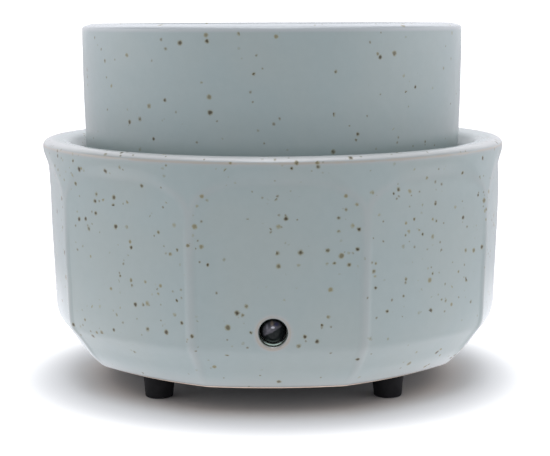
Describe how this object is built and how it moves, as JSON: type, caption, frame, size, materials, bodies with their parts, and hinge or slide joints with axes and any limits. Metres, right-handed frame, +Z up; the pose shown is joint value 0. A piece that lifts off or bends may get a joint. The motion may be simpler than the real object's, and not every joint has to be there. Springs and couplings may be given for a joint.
{
  "type": "wax melt warmer",
  "caption": "Round glazed stoneware warmer: panelled base with electric warming plate and a lift-off dish for wax melts or oil.",
  "frame": {"origin": "middle of the footprint, on the surface that the feet stand on", "axes": "+Z up; the indicator lamp faces -Y; +X to the right seen from the lamp side"},
  "size_m": [0.15, 0.15, 0.1157],
  "materials": {
    "glaze_dish": "satin speckled glaze",
    "glaze_base": "satin speckled glaze",
    "aluminium_plate": "turned",
    "silicone": "matte",
    "steel": "zinc plated",
    "mica": "flaky sheen",
    "element": "wound resistance wire on mica",
    "fibre": "matte fibre",
    "brass_post": "turned",
    "cover_black": "fine grain",
    "rubber_black": "matte",
    "lens_dark": "clear gloss",
    "nylon_white": "satin",
    "lamp_red": "clear gloss",
    "board_green": "solder mask",
    "resistor_body": "lacquered",
    "diode_body": "moulded",
    "fuse_body": "drawn case",
    "sleeve_glass": "woven glass sleeve",
    "lead_white": "silicone insulation",
    "lead_black": "silicone insulation",
    "lead_red": "silicone insulation"
  },
  "bodies": {
    "base": {"base_shell": "glaze_base", "bottom_cover": "cover_black", "centre_stud": "steel", "cord_grommet": "rubber_black", "foot_screw_1": "steel", "foot_screw_2": "steel", "foot_screw_3": "steel", "foot_screw_4": "steel", "foot_washer_1": "steel", "foot_washer_2": "steel", "foot_washer_3": "steel", "foot_washer_4": "steel", "fuse_clip": "steel", "fuse_clip_screw": "steel", "fuse_lead": "lead_white", "fuse_sleeve": "sleeve_glass", "heater_core": "element", "heater_fuse_lead": "lead_white", "heater_lead": "lead_white", "heater_pressure_plate": "steel", "hot_plate": "aluminium_plate", "indicator_lamp": "lamp_red", "indicator_lens": "lens_dark", "insulation_pad": "fibre", "insulation_ring": "fibre", "lamp_board": "board_green", "lamp_bracket": "steel", "lamp_bracket_screw": "steel", "lamp_diode": "diode_body", "lamp_lead_1": "lead_red", "lamp_lead_2": "lead_black", "lamp_resistor": "resistor_body", "lens_retainer": "nylon_white", "mica_lower": "mica", "mica_upper": "mica", "plate_gasket": "silicone", "rubber_foot_1": "rubber_black", "rubber_foot_2": "rubber_black", "rubber_foot_3": "rubber_black", "rubber_foot_4": "rubber_black", "standoff_1": "brass_post", "standoff_2": "brass_post", "standoff_3": "brass_post", "standoff_4": "brass_post", "standoff_screw_1": "steel", "standoff_screw_2": "steel", "standoff_screw_3": "steel", "standoff_screw_4": "steel", "stud_nut": "steel", "stud_washer": "steel", "support_plate": "steel", "terminal_block": "nylon_white", "terminal_block_screw": "steel", "terminal_screw_1": "steel", "terminal_screw_2": "steel", "thermal_fuse": "fuse_body"},
    "dish": {"wax_dish": "glaze_dish"}
  },
  "joints": [
    {"name": "dish_lift", "type": "slide", "parent": "base", "child": "dish", "axis": [0, 0, 1], "range_m": [0, 0.06]}
  ]
}
